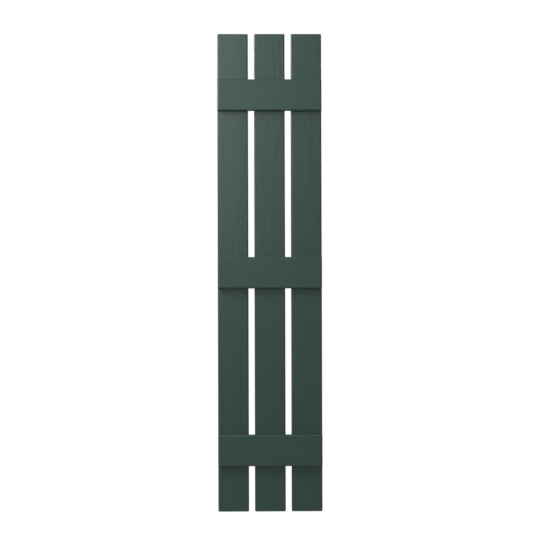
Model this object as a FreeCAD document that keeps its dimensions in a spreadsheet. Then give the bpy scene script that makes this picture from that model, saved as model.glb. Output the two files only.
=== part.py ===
# Board and batten shutter, three spaced boards tied by three battens.
#
# Each board and each batten is a moulded plank: a thin skin with turned-in sides,
# open at the back and stiffened by ribs. A batten lies across the front of the
# boards, and two hex-head screws at each crossing hold it from behind. They pass
# through the board's skin and bite in posts of the batten, so that the front shows
# no fixing.
#
# The frame: X runs across the shutter, +Y goes into the wall and +Z is up. The
# origin is the middle of the back, on the spine of the middle board.

import FreeCAD, Part
import os

import Sketcher
from FreeCAD import Vector

OUT = "parts"
NEAR = 1e-4

# Driving sizes, in millimetres

SIZES = {
    "board_width": 90.0,
    "board_gap": 17.4,
    "board_length": 1397.0,
    "board_depth": 19.0,
    "board_skin": 2.6,
    "board_round": 4.0,
    "board_rib": 2.0,
    "board_rib_setback": 3.0,
    "ribs_per_bay": 4,
    "batten_end_distance": 180.0,
    "batten_height": 92.1,
    "batten_depth": 12.7,
    "batten_skin": 2.6,
    "batten_round": 4.5,
    "batten_rib": 2.0,
    "screw_length": 9.5,
    "screw_core": 3.3,
    "screw_thread": 4.2,
    "screw_head_flats": 6.35,
    "screw_head_height": 2.8,
    "screw_spread_across": 45.0,
    "screw_spread_along": 40.0,
    "hole_clearance": 0.3,
    "post_wall": 2.7,
    "pilot_spare_depth": 0.8,
}

# Sizes that follow from the driving ones

DERIVED = {
    "board_pitch": "=board_width + board_gap",
    "overall_width": "=3 * board_width + 2 * board_gap",
    "batten_rise": "=board_length / 2 - batten_end_distance",
    "rib_pitch": "=batten_rise / ribs_per_bay",
    "rib_count": "=2 * ribs_per_bay + 3",
    "rib_span": "=rib_pitch * (rib_count - 1)",
    "board_hollow": "=board_depth - board_skin",
    "batten_hollow": "=batten_depth - batten_skin",
    "hole_radius": "=screw_thread / 2 + hole_clearance",
    "post_side": "=screw_core + 2 * post_wall",
    "pilot_depth": "=screw_length - board_skin + pilot_spare_depth",
}

doc = FreeCAD.newDocument("Shutter")
sheet = doc.addObject("Spreadsheet::Sheet", "Sizes")
for row, (alias, value) in enumerate({**SIZES, **DERIVED}.items(), start=1):
    sheet.set(f"A{row}", alias)
    sheet.set(f"B{row}", str(value))
    sheet.setAlias(f"B{row}", alias)
doc.recompute()


def bind(target, path, formula):
    """Ties one property to the sheet: the formula's words are the sheet's aliases."""
    words = formula.replace("(", " ( ").replace(")", " ) ").split()
    known = [f"Sizes.{w}" if w in SIZES or w in DERIVED else w for w in words]
    target.setExpression(path, " ".join(known))


def new_body(name, x="0", y="0", z="0"):
    body = doc.addObject("PartDesign::Body", name)
    for axis, formula in zip("xyz", (x, y, z)):
        bind(body, f"Placement.Base.{axis}", formula)
    return body


def plane_of(body, role):
    return next(f for f in body.Origin.OriginFeatures if f.Role == role)


def new_sketch(body, name, x="0", z="0", out="0"):
    """A sketch on the body's own back plane. Its x is X and its y is Z, and out moves it
    towards the front of the shutter."""
    sketch = body.newObject("Sketcher::SketchObject", name)
    sketch.AttachmentSupport = [(plane_of(body, "XZ_Plane"), "")]
    sketch.MapMode = "FlatFace"
    for axis, formula in zip("xyz", (x, z, out)):
        bind(sketch, f"AttachmentOffset.Base.{axis}", formula)
    return sketch


def add_rectangle(sketch, width, height):
    """A rectangle about the sketch's origin."""
    corners = [Vector(-1, -1, 0), Vector(1, -1, 0), Vector(1, 1, 0), Vector(-1, 1, 0)]
    for start, end in zip(corners, corners[1:] + corners[:1]):
        sketch.addGeometry(Part.LineSegment(start, end))
    for side in range(4):
        joint = Sketcher.Constraint("Coincident", side, 2, (side + 1) % 4, 1)
        sketch.addConstraint(joint)
    for side in (0, 2):
        sketch.addConstraint(Sketcher.Constraint("Horizontal", side))
        sketch.addConstraint(Sketcher.Constraint("Vertical", side + 1))
    sketch.addConstraint(Sketcher.Constraint("Symmetric", 0, 1, 2, 1, -1, 1))
    across = sketch.addConstraint(Sketcher.Constraint("DistanceX", 0, 1, 0, 2, 2.0))
    along = sketch.addConstraint(Sketcher.Constraint("DistanceY", 1, 1, 1, 2, 2.0))
    bind(sketch, f"Constraints[{across}]", width)
    bind(sketch, f"Constraints[{along}]", height)


def add_circle(sketch, radius):
    sketch.addGeometry(Part.Circle(Vector(0, 0, 0), Vector(0, 0, 1), 1.0))
    sketch.addConstraint(Sketcher.Constraint("Coincident", 0, 3, -1, 1))
    size = sketch.addConstraint(Sketcher.Constraint("Radius", 0, 1.0))
    bind(sketch, f"Constraints[{size}]", radius)


def add_hexagon(sketch, flats):
    """A regular hexagon about the sketch's origin, measured across its two level flats. A
    construction circle through its corners keeps it regular."""
    ring = [Vector(1, 0, 0), Vector(0.5, 0.87, 0), Vector(-0.5, 0.87, 0)]
    ring += [-point for point in ring]
    for start, end in zip(ring, ring[1:] + ring[:1]):
        sketch.addGeometry(Part.LineSegment(start, end))
    around = sketch.addGeometry(Part.Circle(Vector(0, 0, 0), Vector(0, 0, 1), 1.0), True)
    sketch.addConstraint(Sketcher.Constraint("Coincident", around, 3, -1, 1))
    for side in range(6):
        joint = Sketcher.Constraint("Coincident", side, 2, (side + 1) % 6, 1)
        sketch.addConstraint(joint)
        sketch.addConstraint(Sketcher.Constraint("PointOnObject", side, 1, around))
    for side in range(1, 6):
        sketch.addConstraint(Sketcher.Constraint("Equal", 0, side))
    sketch.addConstraint(Sketcher.Constraint("Horizontal", 1))
    across = sketch.addConstraint(Sketcher.Constraint("DistanceY", 4, 1, 1, 1, 1.7))
    bind(sketch, f"Constraints[{across}]", flats)


def pad(body, name, sketch, length, towards_back=False):
    feature = body.newObject("PartDesign::Pad", name)
    feature.Profile = sketch
    feature.Reversed = towards_back
    bind(feature, "Length", length)
    doc.recompute()
    return feature


def pocket(body, name, sketch, depth):
    """Cuts from the sketch towards the front, and makes sure that it cut something."""
    before = body.Shape.Volume
    feature = body.newObject("PartDesign::Pocket", name)
    feature.Profile = sketch
    feature.Reversed = True
    bind(feature, "Length", depth)
    doc.recompute()
    if body.Shape.Volume > before - NEAR:
        raise RuntimeError(f"{name} cut nothing")
    return feature


def repeat(body, name, originals, axis, length, count):
    """Copies features in a row along one of the body's own axes."""
    feature = body.newObject("PartDesign::LinearPattern", name)
    feature.Originals = originals
    feature.Direction = (plane_of(body, axis), [""])
    bind(feature, "Length", length)
    bind(feature, "Occurrences", count)
    body.Tip = feature
    doc.recompute()
    return feature


# The moulded plank, which both a board and a batten are


def add_plank(body, width, height, depth, skin, rounding, round_corners):
    """A block hollowed from the back and rounded round its front, and at its corners if asked."""
    name = body.Name
    outline = new_sketch(body, f"{name}_outline")
    add_rectangle(outline, width, height)
    block = pad(body, f"{name}_block", outline, depth)

    faces = enumerate(block.Shape.Faces, start=1)
    back = next(f"Face{i}" for i, face in faces if face.BoundBox.YMin > -NEAR)
    shell = body.newObject("PartDesign::Thickness", f"{name}_shell")
    shell.Base = (block, [back])
    shell.Reversed = True
    bind(shell, "Value", skin)
    doc.recompute()

    whole = shell.Shape.BoundBox
    edges = []
    for i, edge in enumerate(shell.Shape.Edges, start=1):
        box = edge.BoundBox
        in_front = box.YMax < whole.YMin + NEAR
        at_corner = box.YLength > whole.YLength - NEAR
        if in_front or (at_corner and round_corners):
            edges.append(f"Edge{i}")
    rounded = body.newObject("PartDesign::Fillet", f"{name}_rounding")
    rounded.Base = (shell, edges)
    bind(rounded, "Radius", rounding)
    doc.recompute()


# Two screws stand at each crossing, at opposite corners of a square about its middle

SCREWS = {"1": ("-1", "1"), "2": ("1", "-1")}


def screw_x(number):
    return f"{SCREWS[number][0]} * screw_spread_across / 2"


def screw_z(number):
    return f"{SCREWS[number][1]} * screw_spread_along / 2"


# Boards: planks side by side, each with a spine, cross ribs and the holes for its screws


def make_board(name, x):
    body = new_body(name, x=x)
    add_plank(
        body,
        "board_width",
        "board_length",
        "board_depth",
        "board_skin",
        "board_round",
        round_corners=True,
    )

    spine = new_sketch(body, f"{name}_spine_outline")
    add_rectangle(spine, "board_rib", "board_length - 2 * board_skin")
    pad(body, f"{name}_spine", spine, "board_hollow")

    rib_outline = new_sketch(
        body, f"{name}_rib_outline", z="-1 * rib_span / 2", out="board_rib_setback"
    )
    add_rectangle(rib_outline, "board_width - 2 * board_skin", "board_rib")
    rib = pad(body, f"{name}_rib", rib_outline, "board_hollow - board_rib_setback")
    repeat(body, f"{name}_ribs", [rib], "Z_Axis", "rib_span", "rib_count")

    holes = []
    for number in SCREWS:
        outline = new_sketch(
            body,
            f"{name}_hole_{number}_outline",
            x=screw_x(number),
            z=f"{screw_z(number)} - batten_rise",
        )
        add_circle(outline, "hole_radius")
        holes.append(pocket(body, f"{name}_hole_{number}", outline, "board_depth"))
    repeat(body, f"{name}_holes", holes, "Z_Axis", "2 * batten_rise", "3")
    return body


BOARD_PLACES = {"left": "-1 * board_pitch", "middle": "0", "right": "board_pitch"}
boards = [make_board(f"board_{side}", x) for side, x in BOARD_PLACES.items()]


# Battens: planks across the front of the boards, flush with their outer sides


def make_batten(name, z):
    body = new_body(name, y="-1 * board_depth", z=z)
    add_plank(
        body,
        "overall_width",
        "batten_height",
        "batten_depth",
        "batten_skin",
        "batten_round",
        round_corners=False,
    )

    spine = new_sketch(body, f"{name}_spine_outline")
    add_rectangle(spine, "overall_width - 2 * batten_skin", "batten_rib")
    pad(body, f"{name}_spine", spine, "batten_hollow")

    # Ribs in line with the boards' sides shut the hollow off from the gaps between them.
    rib_places = {
        "inner": "( board_width - batten_rib ) / 2",
        "outer": "( board_width + batten_rib ) / 2 + board_gap",
    }
    for place, reach in rib_places.items():
        for side, sign in (("left", "-1"), ("right", "1")):
            rib_name = f"{name}_{side}_{place}_rib"
            outline = new_sketch(body, f"{rib_name}_outline", x=f"{sign} * ( {reach} )")
            add_rectangle(outline, "batten_rib", "batten_height - 2 * batten_skin")
            pad(body, rib_name, outline, "batten_hollow")

    posts = []
    for number in SCREWS:
        place = {"x": f"{screw_x(number)} - board_pitch", "z": screw_z(number)}
        outline = new_sketch(body, f"{name}_post_{number}_outline", **place)
        add_rectangle(outline, "post_side", "post_side")
        posts.append(pad(body, f"{name}_post_{number}", outline, "batten_hollow"))
        bore = new_sketch(body, f"{name}_pilot_{number}_outline", **place)
        add_circle(bore, "screw_core / 2")
        posts.append(pocket(body, f"{name}_pilot_{number}", bore, "pilot_depth"))
    repeat(body, f"{name}_posts", posts, "X_Axis", "2 * board_pitch", "3")
    return body


BATTEN_PLACES = {"bottom": "-1 * batten_rise", "middle": "0", "top": "batten_rise"}
battens = [make_batten(f"batten_{level}", z) for level, z in BATTEN_PLACES.items()]


# Screws: heads on the inner side of the boards' skin, cores in the posts of the battens


def make_screw(name, x, z):
    body = new_body(name, x=x, y="board_skin - board_depth", z=z)
    head_outline = new_sketch(body, f"{name}_head_outline")
    add_hexagon(head_outline, "screw_head_flats")
    pad(body, f"{name}_head", head_outline, "screw_head_height", towards_back=True)
    core_outline = new_sketch(body, f"{name}_core_outline")
    add_circle(core_outline, "screw_core / 2")
    pad(body, f"{name}_core", core_outline, "screw_length")
    return body


screws = [
    make_screw(
        f"screw_{level}_{side}_{number}",
        f"{x} + {screw_x(number)}",
        f"{z} + {screw_z(number)}",
    )
    for level, z in BATTEN_PLACES.items()
    for side, x in BOARD_PLACES.items()
    for number in SCREWS
]


# Check every object and write one file for each piece

doc.recompute()
failed = [o.Name for o in doc.Objects if "Invalid" in o.State or "Error" in o.State]
if failed:
    raise RuntimeError(f"not built: {failed}")
os.makedirs(OUT, exist_ok=True)
for body in boards + battens + screws:
    shape = body.Shape
    if not shape.isValid() or len(shape.Solids) != 1:
        raise RuntimeError(f"{body.Name} is not one valid solid")
    shape.exportStep(os.path.join(OUT, f"{body.Name}.step"))
    print(f"{body.Name}: {shape.Volume / 1000:.2f} cm3, {len(shape.Faces)} faces")
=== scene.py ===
import math

import bmesh
import bpy
from mathutils import Matrix, Vector


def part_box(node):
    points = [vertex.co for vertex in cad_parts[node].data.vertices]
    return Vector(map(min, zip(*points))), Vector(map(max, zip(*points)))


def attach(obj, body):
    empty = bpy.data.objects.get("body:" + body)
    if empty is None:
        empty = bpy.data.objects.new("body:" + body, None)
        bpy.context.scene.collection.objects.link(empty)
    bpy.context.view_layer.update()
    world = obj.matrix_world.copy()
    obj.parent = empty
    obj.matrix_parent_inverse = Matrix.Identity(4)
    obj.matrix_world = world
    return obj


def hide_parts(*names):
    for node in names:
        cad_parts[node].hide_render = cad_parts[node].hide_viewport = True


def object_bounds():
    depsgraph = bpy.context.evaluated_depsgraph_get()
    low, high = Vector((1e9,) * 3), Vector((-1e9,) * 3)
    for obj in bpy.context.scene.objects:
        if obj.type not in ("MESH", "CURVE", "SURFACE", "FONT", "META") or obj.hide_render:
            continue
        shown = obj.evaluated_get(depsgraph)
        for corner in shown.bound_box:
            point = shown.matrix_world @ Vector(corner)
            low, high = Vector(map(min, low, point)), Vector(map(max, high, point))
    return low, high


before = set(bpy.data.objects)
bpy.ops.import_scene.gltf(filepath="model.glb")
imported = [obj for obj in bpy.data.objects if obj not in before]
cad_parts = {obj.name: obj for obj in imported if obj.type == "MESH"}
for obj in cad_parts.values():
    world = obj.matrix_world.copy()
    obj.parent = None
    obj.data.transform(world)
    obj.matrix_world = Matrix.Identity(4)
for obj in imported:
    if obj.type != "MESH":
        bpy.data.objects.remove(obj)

cad_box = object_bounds()


# Boards: three long hollow planks of injection-moulded polypropylene, dark green all
# through. The mould is etched with wood grain on the front, where the face is satin,
# and is plain and a little duller in the ribbed back. Nothing is painted on.

DARK_GREEN = (0.0155, 0.0373, 0.0265, 1.0)
PALER_GREEN = (0.0166, 0.0400, 0.0285, 1.0)
POLYPROPYLENE_IOR = 1.49
SHEEN_LEVEL = 0.25
BOARD_FACE_ROUGHNESS = 0.27
BACK_ROUGHNESS = 0.36
ROUGHNESS_SPREAD = 0.08

# The grain's depths in metres, and how lively each of its parts is across a plank,
# through it and along it: the higher the number, the finer the pattern.
BOARD_GRAIN = {"Fibre": 0.00003, "Rings": 0.00005, "Swell": 0.0001}
FIBRE_FINENESS = (330.0, 80.0, 9.0)
RING_FINENESS = (15.0, 5.0, 1.3)
SWELL_FINENESS = (75.0, 20.0, 3.0)
WANDER_FINENESS = (9.0, 9.0, 3.5)
WANDER_WIDTH = 0.022
FIBRE_DETAIL = 3.0
FIBRE_HARSHNESS = 0.55
FIBRE_CUT = (0.36, 0.58)
PLAIN_DETAIL = 1.0
RING_COUNT = 11.0
RING_SHOULDER = 0.34
UPRIGHT = (0.0, 0.0, 0.0)

# Which way a surface faces decides whether it is grained: the front looks along -Y.
GRAIN_STARTS = -0.70
GRAIN_FULL = -0.98


def add_node(tree, kind, place, **settings):
    node = tree.nodes.new(kind)
    node.location = place
    for name, value in settings.items():
        setattr(node, name, value)
    return node


def add_drawn_noise(tree, source, place, fineness, detail):
    """A noise with its own fineness along X, Y and Z, so that it is drawn out along the grain."""
    x, y = place
    stretch = add_node(tree, "ShaderNodeMapping", (x - 200, y))
    stretch.inputs["Scale"].default_value = fineness
    tree.links.new(source, stretch.inputs["Vector"])
    noise = add_node(tree, "ShaderNodeTexNoise", place)
    noise.inputs["Scale"].default_value = 1.0
    noise.inputs["Detail"].default_value = detail
    tree.links.new(stretch.outputs["Vector"], noise.inputs["Vector"])
    return noise


def make_grain_group():
    """Wood grain along Z as a mould leaves it: Height in metres, and a slow Mottle from 0 to 1.
    Fibre, Rings and Swell are the depths of its fine streaks, growth rings and broad waves."""
    group = bpy.data.node_groups.new("moulded_grain", "ShaderNodeTree")
    group.interface.new_socket("Vector", in_out="INPUT", socket_type="NodeSocketVector")
    for name in ("Fibre", "Rings", "Swell"):
        group.interface.new_socket(name, in_out="INPUT", socket_type="NodeSocketFloat")
    for name in ("Height", "Mottle"):
        group.interface.new_socket(name, in_out="OUTPUT", socket_type="NodeSocketFloat")
    entry = add_node(group, "NodeGroupInput", (-1500, 0))
    out = add_node(group, "NodeGroupOutput", (1300, 0))
    link = group.links.new

    # The grain wanders about a centimetre to either side as it runs along.
    wander = add_drawn_noise(group, entry.outputs["Vector"], (-1100, -500), WANDER_FINENESS, PLAIN_DETAIL)
    shift = add_node(group, "ShaderNodeVectorMath", (-900, -500), operation="MULTIPLY_ADD")
    shift.inputs[1].default_value = (WANDER_WIDTH, 0.0, 0.0)
    shift.inputs[2].default_value = (-WANDER_WIDTH / 2, 0.0, 0.0)
    link(wander.outputs["Color"], shift.inputs[0])
    wandering = add_node(group, "ShaderNodeVectorMath", (-700, -300), operation="ADD")
    link(entry.outputs["Vector"], wandering.inputs[0])
    link(shift.outputs["Vector"], wandering.inputs[1])
    along = wandering.outputs["Vector"]

    # Fibre: only the deeper part of a fine noise is cut into the face, as short streaks.
    streaks = add_drawn_noise(group, along, (-300, 300), FIBRE_FINENESS, FIBRE_DETAIL)
    streaks.inputs["Roughness"].default_value = FIBRE_HARSHNESS
    fibre = add_node(group, "ShaderNodeMapRange", (-100, 300), interpolation_type="SMOOTHSTEP")
    fibre.inputs["From Min"].default_value, fibre.inputs["From Max"].default_value = FIBRE_CUT
    link(streaks.outputs["Fac"], fibre.inputs["Value"])

    # Rings are the contour lines of a slow field, so that some close into long arches.
    # Between two lines the height rises for half a ring and falls for the other half.
    field = add_drawn_noise(group, along, (-300, 0), RING_FINENESS, PLAIN_DETAIL)
    count = add_node(group, "ShaderNodeMath", (-100, 0), operation="MULTIPLY")
    count.inputs[1].default_value = RING_COUNT
    link(field.outputs["Fac"], count.inputs[0])
    to_line = add_node(group, "ShaderNodeMath", (80, 0), operation="PINGPONG")
    to_line.inputs[1].default_value = 0.5
    link(count.outputs[0], to_line.inputs[0])
    rings = add_node(group, "ShaderNodeMapRange", (260, 0), interpolation_type="SMOOTHSTEP")
    rings.inputs["From Max"].default_value = RING_SHOULDER
    link(to_line.outputs[0], rings.inputs["Value"])

    swell = add_drawn_noise(group, along, (-300, -300), SWELL_FINENESS, PLAIN_DETAIL)

    # Each part is scaled to its depth and laid on the ones before it.
    forms = {
        "Fibre": fibre.outputs["Result"],
        "Rings": rings.outputs["Result"],
        "Swell": swell.outputs["Fac"],
    }
    height = None
    for number, (name, form) in enumerate(forms.items()):
        place = (480 + 200 * number, 300 - 300 * number)
        layer = add_node(group, "ShaderNodeMath", place, operation="MULTIPLY_ADD")
        link(form, layer.inputs[0])
        link(entry.outputs[name], layer.inputs[1])
        if height is None:
            layer.inputs[2].default_value = 0.0
        else:
            link(height, layer.inputs[2])
        height = layer.outputs[0]
    link(height, out.inputs["Height"])
    link(swell.outputs["Fac"], out.inputs["Mottle"])
    return group


grain_group = make_grain_group()


def make_green(name, turn, grain_depths, face_roughness):
    """Dark green plastic. The turn lays the grain: no turn leaves it upright."""
    material = bpy.data.materials.new(name)
    material.use_nodes = True
    tree = material.node_tree
    tree.nodes.clear()
    link = tree.links.new
    out = add_node(tree, "ShaderNodeOutputMaterial", (900, 0))
    plastic = add_node(tree, "ShaderNodeBsdfPrincipled", (600, 0))
    plastic.inputs["IOR"].default_value = POLYPROPYLENE_IOR
    plastic.inputs["Specular IOR Level"].default_value = SHEEN_LEVEL
    link(plastic.outputs["BSDF"], out.inputs["Surface"])

    coords = add_node(tree, "ShaderNodeTexCoord", (-1100, 0))
    lay = add_node(tree, "ShaderNodeMapping", (-900, 0))
    lay.inputs["Rotation"].default_value = turn
    link(coords.outputs["Object"], lay.inputs["Vector"])
    grain = add_node(tree, "ShaderNodeGroup", (-650, 0), node_tree=grain_group)
    for part, depth in grain_depths.items():
        grain.inputs[part].default_value = depth
    link(lay.outputs["Vector"], grain.inputs["Vector"])

    # Only what faces the front is grained. It fades out round the rounded edges.
    facing = add_node(tree, "ShaderNodeSeparateXYZ", (-900, -320))
    link(coords.outputs["Normal"], facing.inputs["Vector"])
    grained = add_node(tree, "ShaderNodeMapRange", (-650, -320), interpolation_type="SMOOTHSTEP")
    grained.inputs["From Min"].default_value = GRAIN_STARTS
    grained.inputs["From Max"].default_value = GRAIN_FULL
    link(facing.outputs["Y"], grained.inputs["Value"])

    colour = add_node(tree, "ShaderNodeMix", (250, 200), data_type="RGBA")
    colour.inputs["A"].default_value = DARK_GREEN
    colour.inputs["B"].default_value = PALER_GREEN
    link(grain.outputs["Mottle"], colour.inputs["Factor"])
    link(colour.outputs["Result"], plastic.inputs["Base Color"])

    satin = add_node(tree, "ShaderNodeMapRange", (250, -60))
    satin.inputs["To Min"].default_value = BACK_ROUGHNESS
    satin.inputs["To Max"].default_value = face_roughness
    link(grained.outputs["Result"], satin.inputs["Value"])
    uneven = add_node(tree, "ShaderNodeMath", (420, -60), operation="MULTIPLY_ADD")
    uneven.inputs[1].default_value = ROUGHNESS_SPREAD
    link(grain.outputs["Mottle"], uneven.inputs[0])
    link(satin.outputs["Result"], uneven.inputs[2])
    link(uneven.outputs[0], plastic.inputs["Roughness"])

    # The relief is a height in metres, so the bump's own distance stays at 1.
    relief = add_node(tree, "ShaderNodeMath", (0, -320), operation="MULTIPLY")
    link(grain.outputs["Height"], relief.inputs[0])
    link(grained.outputs["Result"], relief.inputs[1])
    bump = add_node(tree, "ShaderNodeBump", (250, -320))
    bump.inputs["Distance"].default_value = 1.0
    link(relief.outputs[0], bump.inputs["Height"])
    link(bump.outputs["Normal"], plastic.inputs["Normal"])
    return material


upright_green = make_green("upright_green_plastic", UPRIGHT, BOARD_GRAIN, BOARD_FACE_ROUGHNESS)
for side in ("left", "middle", "right"):
    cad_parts[f"board_{side}"].data.materials[0] = upright_green


# Battens: three short hollow planks of the same green plastic, laid across the boards
# and flush with their outer sides. Their moulded grain runs crosswise, and screws
# from behind hold them, so that their front is unbroken.

BATTEN_GRAIN = {"Fibre": 0.00005, "Rings": 0.00009, "Swell": 0.00016}
BATTEN_FACE_ROUGHNESS = 0.34
CROSSWISE = (0.0, math.radians(90.0), 0.0)

level_green = make_green("level_green_plastic", CROSSWISE, BATTEN_GRAIN, BATTEN_FACE_ROUGHNESS)
for level in ("bottom", "middle", "top"):
    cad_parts[f"batten_{level}"].data.materials[0] = level_green


# Screws: self-tapping steel screws with a hex head and a washer formed in one with it,
# and a thin bright zinc plating. Each is driven from inside a board's hollow back,
# through its skin, into a post of the batten.

# Sizes are in metres. A screw is shaped upright on the Z axis with its head up, and
# heights count from the face that bears on the board's skin.
HEAD_FLATS = 0.00635
HEAD_HEIGHT = 0.0028
HEAD_POINTS = 36
CORNER_STEP = math.radians(60.0)
CROWN_RADIUS = HEAD_FLATS / 2 * 0.94
CHAMFER_SLOPE = math.tan(math.radians(30.0))
DIMPLE_RIM_RADIUS = HEAD_FLATS / 2 * 0.66
DIMPLE_FLOOR_RADIUS = HEAD_FLATS / 2 * 0.52
DIMPLE_DEPTH = 0.0003
WASHER_RADIUS = 0.0042
WASHER_HEIGHT = 0.0008
HEAD_FOOT_HEIGHT = WASHER_HEIGHT * 0.6
CORE_RADIUS = 0.0015
SHANK_LENGTH = 0.0095
TURNED_STEPS = 28
# Radii and heights from the middle of the washer's top, round its rim and down to the tip.
TURNED_OUTLINE = (
    (0.0, WASHER_HEIGHT),
    (WASHER_RADIUS * 0.86, WASHER_HEIGHT),
    (WASHER_RADIUS * 0.97, WASHER_HEIGHT * 0.62),
    (WASHER_RADIUS, WASHER_HEIGHT * 0.2),
    (WASHER_RADIUS * 0.98, 0.0),
    (CORE_RADIUS * 1.15, 0.0),
    (CORE_RADIUS, -0.0004),
    (CORE_RADIUS, 0.0014 - SHANK_LENGTH),
    (CORE_RADIUS * 0.5, 0.0002 - SHANK_LENGTH),
    (0.0, -SHANK_LENGTH),
)
THREAD_RADIUS = 0.0021
THREAD_ROOT_RADIUS = CORE_RADIUS * 0.9
THREAD_HALF_WIDTH = 0.0004
THREAD_PITCH = 0.0014
THREAD_START = -0.0013
THREAD_TURNS = 5.0
THREAD_STEPS = 90
SAME_POINT = 1e-7
SMOOTH_LIMIT = math.radians(24.0)
ZINC = (0.56, 0.57, 0.58, 1.0)
ZINC_DULL = (0.42, 0.43, 0.45, 1.0)
ZINC_ROUGHNESS = (0.22, 0.42)
BLOOM_FINENESS = 900.0
BLOOM_DETAIL = 3.0
DRIVEN_STEP = math.radians(37.0)


def across_hexagon(angle):
    """How far the side of the head is from its axis in the direction of the angle."""
    off_flat = angle % CORNER_STEP - CORNER_STEP / 2
    return HEAD_FLATS / 2 / math.cos(off_flat)


def place_ring(verts, radius_of, height_of):
    """Moves each point to the radius for its angle, and to the height for that radius."""
    for vert in verts:
        angle = math.atan2(vert.co.y, vert.co.x)
        radius = radius_of(angle)
        vert.co = (radius * math.cos(angle), radius * math.sin(angle), height_of(radius))


def raise_ring(bm, edges):
    """Extrudes a ring of edges and returns the new ring's edges and points."""
    new = bmesh.ops.extrude_edge_only(bm, edges=edges)["geom"]
    verts = [item for item in new if isinstance(item, bmesh.types.BMVert)]
    rungs_and_ring = [item for item in new if isinstance(item, bmesh.types.BMEdge)]
    return [edge for edge in rungs_and_ring if all(vert in verts for vert in edge.verts)], verts


def add_hex_head(bm):
    """A prism with a turned chamfer round its top and a shallow dimple, as cold forming leaves."""
    foot = bmesh.ops.create_circle(bm, cap_ends=True, radius=HEAD_FLATS / 2, segments=HEAD_POINTS)["verts"]
    place_ring(foot, across_hexagon, lambda radius: HEAD_FOOT_HEIGHT)
    edges = [edge for edge in bm.edges if edge.is_boundary and edge.verts[0] in foot]
    rings = (
        (across_hexagon, lambda radius: HEAD_HEIGHT - (radius - CROWN_RADIUS) * CHAMFER_SLOPE),
        (lambda angle: CROWN_RADIUS, lambda radius: HEAD_HEIGHT),
        (lambda angle: DIMPLE_RIM_RADIUS, lambda radius: HEAD_HEIGHT),
        (lambda angle: DIMPLE_FLOOR_RADIUS, lambda radius: HEAD_HEIGHT - DIMPLE_DEPTH),
    )
    for radius_of, height_of in rings:
        edges, verts = raise_ring(bm, edges)
        place_ring(verts, radius_of, height_of)
    bmesh.ops.contextual_create(bm, geom=edges)


def add_turned_part(bm):
    """Spins the outline of the washer, core and tip round the axis, from pole to pole."""
    verts = [bm.verts.new((radius, 0.0, height)) for radius, height in TURNED_OUTLINE]
    edges = [bm.edges.new(pair) for pair in zip(verts, verts[1:])]
    bmesh.ops.spin(
        bm,
        geom=verts + edges,
        cent=(0, 0, 0),
        axis=(0, 0, 1),
        angle=math.tau,
        steps=TURNED_STEPS,
        use_merge=True,
    )


def add_thread(bm):
    """Winds a small triangle down the core. Its root is sunk a little way into it."""
    corners = (
        (THREAD_ROOT_RADIUS, -THREAD_HALF_WIDTH),
        (THREAD_RADIUS, 0.0),
        (THREAD_ROOT_RADIUS, THREAD_HALF_WIDTH),
    )
    verts = [bm.verts.new((radius, 0.0, THREAD_START + height)) for radius, height in corners]
    bmesh.ops.spin(
        bm,
        geom=[bm.faces.new(verts)],
        cent=(0, 0, 0),
        axis=(0, 0, 1),
        dvec=(0, 0, -THREAD_PITCH * THREAD_TURNS / THREAD_STEPS),
        angle=math.tau * THREAD_TURNS,
        steps=THREAD_STEPS,
    )


def make_screw_form():
    bm = bmesh.new()
    add_hex_head(bm)
    add_turned_part(bm)
    add_thread(bm)
    bmesh.ops.remove_doubles(bm, verts=bm.verts, dist=SAME_POINT)
    bmesh.ops.recalc_face_normals(bm, faces=bm.faces)
    for face in bm.faces:
        face.smooth = True
    return bm


def make_zinc():
    """Bright zinc: thin, a little milky, and uneven over the surface."""
    material = bpy.data.materials.new("zinc_plated_steel")
    material.use_nodes = True
    tree = material.node_tree
    tree.nodes.clear()
    link = tree.links.new
    out = add_node(tree, "ShaderNodeOutputMaterial", (700, 0))
    metal = add_node(tree, "ShaderNodeBsdfPrincipled", (400, 0))
    metal.inputs["Metallic"].default_value = 1.0
    link(metal.outputs["BSDF"], out.inputs["Surface"])
    coords = add_node(tree, "ShaderNodeTexCoord", (-700, 0))
    bloom = add_node(tree, "ShaderNodeTexNoise", (-450, 0))
    bloom.inputs["Scale"].default_value = BLOOM_FINENESS
    bloom.inputs["Detail"].default_value = BLOOM_DETAIL
    link(coords.outputs["Object"], bloom.inputs["Vector"])
    tint = add_node(tree, "ShaderNodeMix", (0, 150), data_type="RGBA")
    tint.inputs["A"].default_value = ZINC_DULL
    tint.inputs["B"].default_value = ZINC
    link(bloom.outputs["Fac"], tint.inputs["Factor"])
    link(tint.outputs["Result"], metal.inputs["Base Color"])
    dull = add_node(tree, "ShaderNodeMapRange", (0, -150))
    dull.inputs["To Min"].default_value, dull.inputs["To Max"].default_value = ZINC_ROUGHNESS
    link(bloom.outputs["Fac"], dull.inputs["Value"])
    link(dull.outputs["Result"], metal.inputs["Roughness"])
    return material


zinc = make_zinc()
screw_form = make_screw_form()
facing_back = Matrix.Rotation(math.radians(-90.0), 4, "X")
screw_names = sorted(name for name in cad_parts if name.startswith("screw_"))
for number, name in enumerate(screw_names):
    low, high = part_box(name)
    mesh = bpy.data.meshes.new(f"hex_{name}")
    screw_form.to_mesh(mesh)
    mesh.set_sharp_from_angle(angle=SMOOTH_LIMIT)
    # Each stops at another turn, as driven screws do.
    driven = Matrix.Rotation(DRIVEN_STEP * number, 4, "Z")
    seat = Vector(((low[0] + high[0]) / 2, high[1] - HEAD_HEIGHT, (low[2] + high[2]) / 2))
    mesh.transform(Matrix.Translation(seat) @ facing_back @ driven)
    mesh.materials.append(zinc)
    screw = bpy.data.objects.new(f"hex_{name}", mesh)
    bpy.context.scene.collection.objects.link(screw)
    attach(screw, "root")
    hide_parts(name)
screw_form.free()


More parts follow.
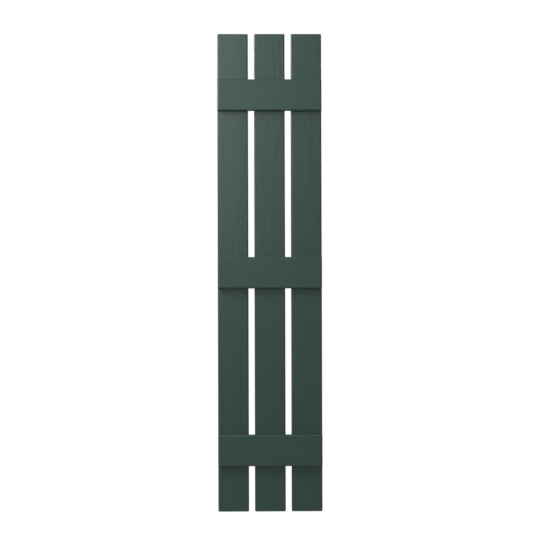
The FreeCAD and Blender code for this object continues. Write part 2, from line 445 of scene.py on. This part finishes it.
# Stage: a pale round floor well below the shutter, which hangs as it would on its
# wall. The floor fades out into the white world around it.

FLOOR_DROP = 0.55
FLOOR_RADIUS = 2.2
FLOOR_POINTS = 96
FLOOR_PALE = (0.80, 0.80, 0.80, 1.0)
FLOOR_GLOW = 0.30
FADE_RADIUS = FLOOR_RADIUS * 0.45


def is_seen_ray(tree, place):
    """1 for the rays of the eye, of reflections and of see-through parts, and 0 for light."""
    x, y = place
    ray = add_node(tree, "ShaderNodeLightPath", (x, y))
    either = add_node(tree, "ShaderNodeMath", (x + 200, y), operation="MAXIMUM")
    tree.links.new(ray.outputs["Is Camera Ray"], either.inputs[0])
    tree.links.new(ray.outputs["Is Glossy Ray"], either.inputs[1])
    any_of = add_node(tree, "ShaderNodeMath", (x + 400, y), operation="MAXIMUM")
    tree.links.new(either.outputs[0], any_of.inputs[0])
    tree.links.new(ray.outputs["Is Transmission Ray"], any_of.inputs[1])
    return any_of.outputs[0]


def make_floor_white():
    """Pale, with a glow that is seen but lights nothing. It is clear at the rim and from below."""
    material = bpy.data.materials.new("pale_floor")
    material.use_nodes = True
    tree = material.node_tree
    tree.nodes.clear()
    link = tree.links.new
    out = add_node(tree, "ShaderNodeOutputMaterial", (900, 0))
    pale = add_node(tree, "ShaderNodeBsdfDiffuse", (-100, 200))
    pale.inputs["Color"].default_value = FLOOR_PALE
    glow = add_node(tree, "ShaderNodeEmission", (-100, 50))
    lit = add_node(tree, "ShaderNodeMath", (-300, 50), operation="MULTIPLY")
    lit.inputs[1].default_value = FLOOR_GLOW
    link(is_seen_ray(tree, (-900, 300)), lit.inputs[0])
    link(lit.outputs[0], glow.inputs["Strength"])
    bright = add_node(tree, "ShaderNodeAddShader", (150, 150))
    link(pale.outputs["BSDF"], bright.inputs[0])
    link(glow.outputs["Emission"], bright.inputs[1])

    clear = add_node(tree, "ShaderNodeBsdfTransparent", (150, -100))
    coords = add_node(tree, "ShaderNodeTexCoord", (-900, -200))
    reach = add_node(tree, "ShaderNodeVectorMath", (-700, -200), operation="LENGTH")
    link(coords.outputs["Object"], reach.inputs[0])
    fade = add_node(tree, "ShaderNodeMapRange", (-500, -200), interpolation_type="SMOOTHSTEP")
    fade.inputs["From Min"].default_value = FADE_RADIUS
    fade.inputs["From Max"].default_value = FLOOR_RADIUS
    link(reach.outputs["Value"], fade.inputs["Value"])
    rim = add_node(tree, "ShaderNodeMixShader", (400, 0))
    link(fade.outputs["Result"], rim.inputs["Fac"])
    link(bright.outputs["Shader"], rim.inputs[1])
    link(clear.outputs["BSDF"], rim.inputs[2])

    side = add_node(tree, "ShaderNodeNewGeometry", (400, 250))
    below = add_node(tree, "ShaderNodeMixShader", (650, 0))
    link(side.outputs["Backfacing"], below.inputs["Fac"])
    link(rim.outputs["Shader"], below.inputs[1])
    link(clear.outputs["BSDF"], below.inputs[2])
    link(below.outputs["Shader"], out.inputs["Surface"])
    return material


floor_form = bmesh.new()
bmesh.ops.create_circle(floor_form, cap_ends=True, radius=FLOOR_RADIUS, segments=FLOOR_POINTS)
floor_mesh = bpy.data.meshes.new("floor")
floor_form.to_mesh(floor_mesh)
floor_form.free()
floor_mesh.transform(Matrix.Translation((0.0, 0.0, cad_box[0][2] - FLOOR_DROP)))
floor_mesh.materials.append(make_floor_white())
floor = bpy.data.objects.new("floor", floor_mesh)
bpy.context.scene.collection.objects.link(floor)


# Light: a white world, a softbox close on the upper left that rakes down across the
# grain, a strip box in front that leaves the sheen, and two softboxes behind that
# light the ribbed back and the sides.

WHITE = (1.0, 1.0, 1.0, 1.0)
WORLD_SEEN = 1.0
WORLD_FILL = 0.23


def make_world():
    """White where it is seen or mirrored, and a weaker fill as light."""
    world = bpy.data.worlds.new("white_studio")
    world.use_nodes = True
    tree = world.node_tree
    tree.nodes.clear()
    link = tree.links.new
    out = add_node(tree, "ShaderNodeOutputWorld", (700, 0))
    seen = add_node(tree, "ShaderNodeBackground", (200, 120))
    seen.inputs["Color"].default_value = WHITE
    seen.inputs["Strength"].default_value = WORLD_SEEN
    fill = add_node(tree, "ShaderNodeBackground", (200, -120))
    fill.inputs["Color"].default_value = WHITE
    fill.inputs["Strength"].default_value = WORLD_FILL
    mix = add_node(tree, "ShaderNodeMixShader", (450, 0))
    link(is_seen_ray(tree, (-500, 300)), mix.inputs["Fac"])
    link(fill.outputs["Background"], mix.inputs[1])
    link(seen.outputs["Background"], mix.inputs[2])
    link(mix.outputs["Shader"], out.inputs["Surface"])
    return world


def add_softbox(name, place, aim, size, power):
    """An area lamp that looks from its place at the aim, and isn't seen by the camera."""
    light = bpy.data.lights.new(name, "AREA")
    light.shape = "RECTANGLE"
    light.size, light.size_y = size
    light.energy = power
    lamp = bpy.data.objects.new(name, light)
    lamp.location = place
    lamp.rotation_euler = (Vector(aim) - Vector(place)).to_track_quat("-Z", "Y").to_euler()
    lamp.visible_camera = False
    bpy.context.scene.collection.objects.link(lamp)


bpy.context.scene.world = make_world()
add_softbox("raking_softbox", (-1.60, -0.70, 1.20), aim=(0.0, 0.0, -0.20), size=(0.60, 1.20), power=104.0)
add_softbox("front_strip_box", (-0.49, -3.43, 1.13), aim=(0.0, 0.0, 0.24), size=(0.39, 1.97), power=27.5)
add_softbox("rear_left_softbox", (-1.30, 2.20, 1.50), aim=(0.0, 0.0, 0.0), size=(1.00, 1.40), power=60.0)
add_softbox("rear_right_softbox", (2.20, 2.00, 0.90), aim=(0.0, 0.0, 0.0), size=(1.00, 1.40), power=60.0)


# Camera: level with the middle of the shutter, four and a half metres off and a hand
# to the left, with the small lean of the photograph.

camera_data = bpy.data.cameras.new("camera")
camera_data.sensor_width = 36.0
camera_data.lens = 102.2
camera = bpy.data.objects.new("camera", camera_data)
camera.location = (-0.066, -4.5, 0.003)
camera.rotation_euler = (math.radians(90.063), math.radians(0.16), math.radians(-0.85))
bpy.context.scene.collection.objects.link(camera)
bpy.context.scene.camera = camera
bpy.context.scene.view_settings.view_transform = "Standard"
